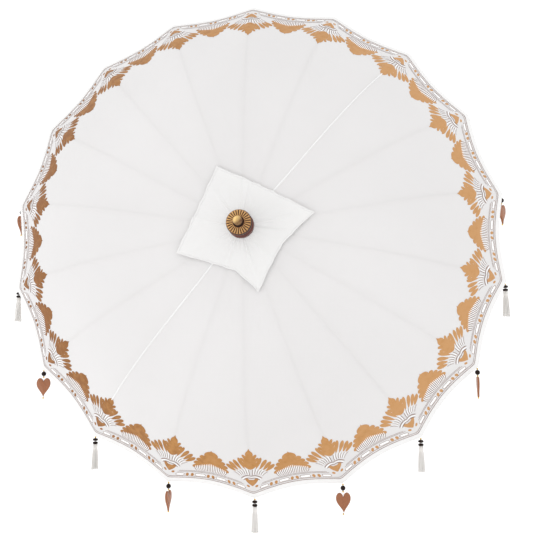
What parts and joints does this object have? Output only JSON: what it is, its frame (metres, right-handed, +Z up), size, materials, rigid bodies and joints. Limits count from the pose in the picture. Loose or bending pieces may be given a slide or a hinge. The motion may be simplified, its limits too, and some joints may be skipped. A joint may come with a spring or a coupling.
{
  "type": "parasol",
  "caption": "Large painted cotton parasol with bowed hinged ribs, a sliding runner, a turned finial, a square cap cloth and hanging hearts and tassels.",
  "frame": {"origin": "centre of the pole's foot end", "axes": "+Y along the pole from the crown to the foot, so the crown faces -Y; +Z up, the way the pendants hang down from; +X to the right seen from in front of the crown"},
  "size_m": [2.5035, 2.7612, 2.67],
  "materials": {
    "bamboo": "satin",
    "pole_wood": "satin",
    "hub_wood": "satin",
    "sleeve_metal": "satin",
    "steel": "satin",
    "canopy_cotton": "woven cotton, painted with gold ornament",
    "cap_cotton": "woven cotton",
    "gilt_wood": "gold paint over turned wood",
    "dark_gilt": "dark red-brown stain",
    "ball_gilt": "bright gold paint",
    "thread": "cotton thread",
    "gold_bead": "polished",
    "dark_bead": "lacquered",
    "tassel_cotton": "cotton yarn",
    "heart_wood": "satin"
  },
  "bodies": {
    "pole": {"pole_lower": "pole_wood", "pole_upper": "pole_wood", "pole_sleeve": "sleeve_metal", "sleeve_pins": "steel", "top_notch": "hub_wood", "notch_wire": "steel", "spring_catch": "steel", "canopy": "canopy_cotton", "cap_cloth": "cap_cotton", "finial_foot": "dark_gilt", "finial_disc": "gilt_wood", "finial_ball": "ball_gilt", "threads": "thread", "gold_beads": "gold_bead", "dark_beads": "dark_bead", "tassels": "tassel_cotton", "hearts": "heart_wood"},
    "runner": {"runner": "hub_wood"},
    "rib_01": {"rib_01": "bamboo"},
    "stretcher_01": {"stretcher_01": "bamboo"},
    "rib_02": {"rib_02": "bamboo"},
    "stretcher_02": {"stretcher_02": "bamboo"},
    "rib_03": {"rib_03": "bamboo"},
    "stretcher_03": {"stretcher_03": "bamboo"},
    "rib_04": {"rib_04": "bamboo"},
    "stretcher_04": {"stretcher_04": "bamboo"},
    "rib_05": {"rib_05": "bamboo"},
    "stretcher_05": {"stretcher_05": "bamboo"},
    "rib_06": {"rib_06": "bamboo"},
    "stretcher_06": {"stretcher_06": "bamboo"},
    "rib_07": {"rib_07": "bamboo"},
    "stretcher_07": {"stretcher_07": "bamboo"},
    "rib_08": {"rib_08": "bamboo"},
    "stretcher_08": {"stretcher_08": "bamboo"},
    "rib_09": {"rib_09": "bamboo"},
    "stretcher_09": {"stretcher_09": "bamboo"},
    "rib_10": {"rib_10": "bamboo"},
    "stretcher_10": {"stretcher_10": "bamboo"},
    "rib_11": {"rib_11": "bamboo"},
    "stretcher_11": {"stretcher_11": "bamboo"},
    "rib_12": {"rib_12": "bamboo"},
    "stretcher_12": {"stretcher_12": "bamboo"},
    "rib_13": {"rib_13": "bamboo"},
    "stretcher_13": {"stretcher_13": "bamboo"},
    "rib_14": {"rib_14": "bamboo"},
    "stretcher_14": {"stretcher_14": "bamboo"},
    "rib_15": {"rib_15": "bamboo"},
    "stretcher_15": {"stretcher_15": "bamboo"},
    "rib_16": {"rib_16": "bamboo"},
    "stretcher_16": {"stretcher_16": "bamboo"},
    "rib_17": {"rib_17": "bamboo"},
    "stretcher_17": {"stretcher_17": "bamboo"},
    "rib_18": {"rib_18": "bamboo"},
    "stretcher_18": {"stretcher_18": "bamboo"}
  },
  "joints": [
    {"name": "runner_slide", "type": "slide", "parent": "pole", "child": "runner", "axis": [0, 1, 0], "range_m": [0, 1.0688], "deforming": ["canopy", "cap_cloth", "spring_catch", "threads", "gold_beads", "dark_beads", "tassels", "hearts"]},
    {"name": "rib_01_hinge", "type": "hinge", "parent": "pole", "child": "rib_01", "pos_m": [0, -2.60083, 0.052], "axis": [-1, 0, 0], "range_deg": [-0.5, 68.5]},
    {"name": "stretcher_01_hinge", "type": "hinge", "parent": "rib_01", "child": "stretcher_01", "pos_m": [0, -2.49465, 0.7], "axis": [-1, 0, 0], "range_deg": [-137, 1]},
    {"name": "rib_02_hinge", "type": "hinge", "parent": "pole", "child": "rib_02", "pos_m": [0.01778, -2.60083, 0.04886], "axis": [-0.9397, 0, 0.342], "range_deg": [-0.5, 68.5]},
    {"name": "stretcher_02_hinge", "type": "hinge", "parent": "rib_02", "child": "stretcher_02", "pos_m": [0.23941, -2.49465, 0.65778], "axis": [-0.9397, 0, 0.342], "range_deg": [-137, 1]},
    {"name": "rib_03_hinge", "type": "hinge", "parent": "pole", "child": "rib_03", "pos_m": [0.03343, -2.60083, 0.03983], "axis": [-0.766, 0, 0.6428], "range_deg": [-0.5, 68.5]},
    {"name": "stretcher_03_hinge", "type": "hinge", "parent": "rib_03", "child": "stretcher_03", "pos_m": [0.44995, -2.49465, 0.53623], "axis": [-0.766, 0, 0.6428], "range_deg": [-137, 1]},
    {"name": "rib_04_hinge", "type": "hinge", "parent": "pole", "child": "rib_04", "pos_m": [0.04503, -2.60083, 0.026], "axis": [-0.5, 0, 0.866], "range_deg": [-0.5, 68.5]},
    {"name": "stretcher_04_hinge", "type": "hinge", "parent": "rib_04", "child": "stretcher_04", "pos_m": [0.60622, -2.49465, 0.35], "axis": [-0.5, 0, 0.866], "range_deg": [-137, 1]},
    {"name": "rib_05_hinge", "type": "hinge", "parent": "pole", "child": "rib_05", "pos_m": [0.05121, -2.60083, 0.00903], "axis": [-0.1736, 0, 0.9848], "range_deg": [-0.5, 68.5]},
    {"name": "stretcher_05_hinge", "type": "hinge", "parent": "rib_05", "child": "stretcher_05", "pos_m": [0.68937, -2.49465, 0.12155], "axis": [-0.1736, 0, 0.9848], "range_deg": [-137, 1]},
    {"name": "rib_06_hinge", "type": "hinge", "parent": "pole", "child": "rib_06", "pos_m": [0.05121, -2.60083, -0.00903], "axis": [0.1736, 0, 0.9848], "range_deg": [-0.5, 68.5]},
    {"name": "stretcher_06_hinge", "type": "hinge", "parent": "rib_06", "child": "stretcher_06", "pos_m": [0.68937, -2.49465, -0.12155], "axis": [0.1736, 0, 0.9848], "range_deg": [-137, 1]},
    {"name": "rib_07_hinge", "type": "hinge", "parent": "pole", "child": "rib_07", "pos_m": [0.04503, -2.60083, -0.026], "axis": [0.5, 0, 0.866], "range_deg": [-0.5, 68.5]},
    {"name": "stretcher_07_hinge", "type": "hinge", "parent": "rib_07", "child": "stretcher_07", "pos_m": [0.60622, -2.49465, -0.35], "axis": [0.5, 0, 0.866], "range_deg": [-137, 1]},
    {"name": "rib_08_hinge", "type": "hinge", "parent": "pole", "child": "rib_08", "pos_m": [0.03343, -2.60083, -0.03983], "axis": [0.766, 0, 0.6428], "range_deg": [-0.5, 68.5]},
    {"name": "stretcher_08_hinge", "type": "hinge", "parent": "rib_08", "child": "stretcher_08", "pos_m": [0.44995, -2.49465, -0.53623], "axis": [0.766, 0, 0.6428], "range_deg": [-137, 1]},
    {"name": "rib_09_hinge", "type": "hinge", "parent": "pole", "child": "rib_09", "pos_m": [0.01778, -2.60083, -0.04886], "axis": [0.9397, 0, 0.342], "range_deg": [-0.5, 68.5]},
    {"name": "stretcher_09_hinge", "type": "hinge", "parent": "rib_09", "child": "stretcher_09", "pos_m": [0.23941, -2.49465, -0.65778], "axis": [0.9397, 0, 0.342], "range_deg": [-137, 1]},
    {"name": "rib_10_hinge", "type": "hinge", "parent": "pole", "child": "rib_10", "pos_m": [0, -2.60083, -0.052], "axis": [1, 0, 0], "range_deg": [-0.5, 68.5]},
    {"name": "stretcher_10_hinge", "type": "hinge", "parent": "rib_10", "child": "stretcher_10", "pos_m": [0, -2.49465, -0.7], "axis": [1, 0, 0], "range_deg": [-137, 1]},
    {"name": "rib_11_hinge", "type": "hinge", "parent": "pole", "child": "rib_11", "pos_m": [-0.01778, -2.60083, -0.04886], "axis": [0.9397, 0, -0.342], "range_deg": [-0.5, 68.5]},
    {"name": "stretcher_11_hinge", "type": "hinge", "parent": "rib_11", "child": "stretcher_11", "pos_m": [-0.23941, -2.49465, -0.65778], "axis": [0.9397, 0, -0.342], "range_deg": [-137, 1]},
    {"name": "rib_12_hinge", "type": "hinge", "parent": "pole", "child": "rib_12", "pos_m": [-0.03343, -2.60083, -0.03983], "axis": [0.766, 0, -0.6428], "range_deg": [-0.5, 68.5]},
    {"name": "stretcher_12_hinge", "type": "hinge", "parent": "rib_12", "child": "stretcher_12", "pos_m": [-0.44995, -2.49465, -0.53623], "axis": [0.766, 0, -0.6428], "range_deg": [-137, 1]},
    {"name": "rib_13_hinge", "type": "hinge", "parent": "pole", "child": "rib_13", "pos_m": [-0.04503, -2.60083, -0.026], "axis": [0.5, 0, -0.866], "range_deg": [-0.5, 68.5]},
    {"name": "stretcher_13_hinge", "type": "hinge", "parent": "rib_13", "child": "stretcher_13", "pos_m": [-0.60622, -2.49465, -0.35], "axis": [0.5, 0, -0.866], "range_deg": [-137, 1]},
    {"name": "rib_14_hinge", "type": "hinge", "parent": "pole", "child": "rib_14", "pos_m": [-0.05121, -2.60083, -0.00903], "axis": [0.1736, 0, -0.9848], "range_deg": [-0.5, 68.5]},
    {"name": "stretcher_14_hinge", "type": "hinge", "parent": "rib_14", "child": "stretcher_14", "pos_m": [-0.68937, -2.49465, -0.12155], "axis": [0.1736, 0, -0.9848], "range_deg": [-137, 1]},
    {"name": "rib_15_hinge", "type": "hinge", "parent": "pole", "child": "rib_15", "pos_m": [-0.05121, -2.60083, 0.00903], "axis": [-0.1736, 0, -0.9848], "range_deg": [-0.5, 68.5]},
    {"name": "stretcher_15_hinge", "type": "hinge", "parent": "rib_15", "child": "stretcher_15", "pos_m": [-0.68937, -2.49465, 0.12155], "axis": [-0.1736, 0, -0.9848], "range_deg": [-137, 1]},
    {"name": "rib_16_hinge", "type": "hinge", "parent": "pole", "child": "rib_16", "pos_m": [-0.04503, -2.60083, 0.026], "axis": [-0.5, 0, -0.866], "range_deg": [-0.5, 68.5]},
    {"name": "stretcher_16_hinge", "type": "hinge", "parent": "rib_16", "child": "stretcher_16", "pos_m": [-0.60622, -2.49465, 0.35], "axis": [-0.5, 0, -0.866], "range_deg": [-137, 1]},
    {"name": "rib_17_hinge", "type": "hinge", "parent": "pole", "child": "rib_17", "pos_m": [-0.03343, -2.60083, 0.03983], "axis": [-0.766, 0, -0.6428], "range_deg": [-0.5, 68.5]},
    {"name": "stretcher_17_hinge", "type": "hinge", "parent": "rib_17", "child": "stretcher_17", "pos_m": [-0.44995, -2.49465, 0.53623], "axis": [-0.766, 0, -0.6428], "range_deg": [-137, 1]},
    {"name": "rib_18_hinge", "type": "hinge", "parent": "pole", "child": "rib_18", "pos_m": [-0.01778, -2.60083, 0.04886], "axis": [-0.9397, 0, -0.342], "range_deg": [-0.5, 68.5]},
    {"name": "stretcher_18_hinge", "type": "hinge", "parent": "rib_18", "child": "stretcher_18", "pos_m": [-0.23941, -2.49465, 0.65778], "axis": [-0.9397, 0, -0.342], "range_deg": [-137, 1]}
  ],
  "couplings": [
    {"joint": "rib_01_hinge", "follows": "runner_slide", "rad_per_m": 1.1104},
    {"joint": "stretcher_01_hinge", "follows": "runner_slide", "rad_per_m": -2.2209},
    {"joint": "rib_02_hinge", "follows": "runner_slide", "rad_per_m": 1.1104},
    {"joint": "stretcher_02_hinge", "follows": "runner_slide", "rad_per_m": -2.2209},
    {"joint": "rib_03_hinge", "follows": "runner_slide", "rad_per_m": 1.1104},
    {"joint": "stretcher_03_hinge", "follows": "runner_slide", "rad_per_m": -2.2209},
    {"joint": "rib_04_hinge", "follows": "runner_slide", "rad_per_m": 1.1104},
    {"joint": "stretcher_04_hinge", "follows": "runner_slide", "rad_per_m": -2.2209},
    {"joint": "rib_05_hinge", "follows": "runner_slide", "rad_per_m": 1.1104},
    {"joint": "stretcher_05_hinge", "follows": "runner_slide", "rad_per_m": -2.2209},
    {"joint": "rib_06_hinge", "follows": "runner_slide", "rad_per_m": 1.1104},
    {"joint": "stretcher_06_hinge", "follows": "runner_slide", "rad_per_m": -2.2209},
    {"joint": "rib_07_hinge", "follows": "runner_slide", "rad_per_m": 1.1104},
    {"joint": "stretcher_07_hinge", "follows": "runner_slide", "rad_per_m": -2.2209},
    {"joint": "rib_08_hinge", "follows": "runner_slide", "rad_per_m": 1.1104},
    {"joint": "stretcher_08_hinge", "follows": "runner_slide", "rad_per_m": -2.2209},
    {"joint": "rib_09_hinge", "follows": "runner_slide", "rad_per_m": 1.1104},
    {"joint": "stretcher_09_hinge", "follows": "runner_slide", "rad_per_m": -2.2209},
    {"joint": "rib_10_hinge", "follows": "runner_slide", "rad_per_m": 1.1104},
    {"joint": "stretcher_10_hinge", "follows": "runner_slide", "rad_per_m": -2.2209},
    {"joint": "rib_11_hinge", "follows": "runner_slide", "rad_per_m": 1.1104},
    {"joint": "stretcher_11_hinge", "follows": "runner_slide", "rad_per_m": -2.2209},
    {"joint": "rib_12_hinge", "follows": "runner_slide", "rad_per_m": 1.1104},
    {"joint": "stretcher_12_hinge", "follows": "runner_slide", "rad_per_m": -2.2209},
    {"joint": "rib_13_hinge", "follows": "runner_slide", "rad_per_m": 1.1104},
    {"joint": "stretcher_13_hinge", "follows": "runner_slide", "rad_per_m": -2.2209},
    {"joint": "rib_14_hinge", "follows": "runner_slide", "rad_per_m": 1.1104},
    {"joint": "stretcher_14_hinge", "follows": "runner_slide", "rad_per_m": -2.2209},
    {"joint": "rib_15_hinge", "follows": "runner_slide", "rad_per_m": 1.1104},
    {"joint": "stretcher_15_hinge", "follows": "runner_slide", "rad_per_m": -2.2209},
    {"joint": "rib_16_hinge", "follows": "runner_slide", "rad_per_m": 1.1104},
    {"joint": "stretcher_16_hinge", "follows": "runner_slide", "rad_per_m": -2.2209},
    {"joint": "rib_17_hinge", "follows": "runner_slide", "rad_per_m": 1.1104},
    {"joint": "stretcher_17_hinge", "follows": "runner_slide", "rad_per_m": -2.2209},
    {"joint": "rib_18_hinge", "follows": "runner_slide", "rad_per_m": 1.1104},
    {"joint": "stretcher_18_hinge", "follows": "runner_slide", "rad_per_m": -2.2209}
  ]
}
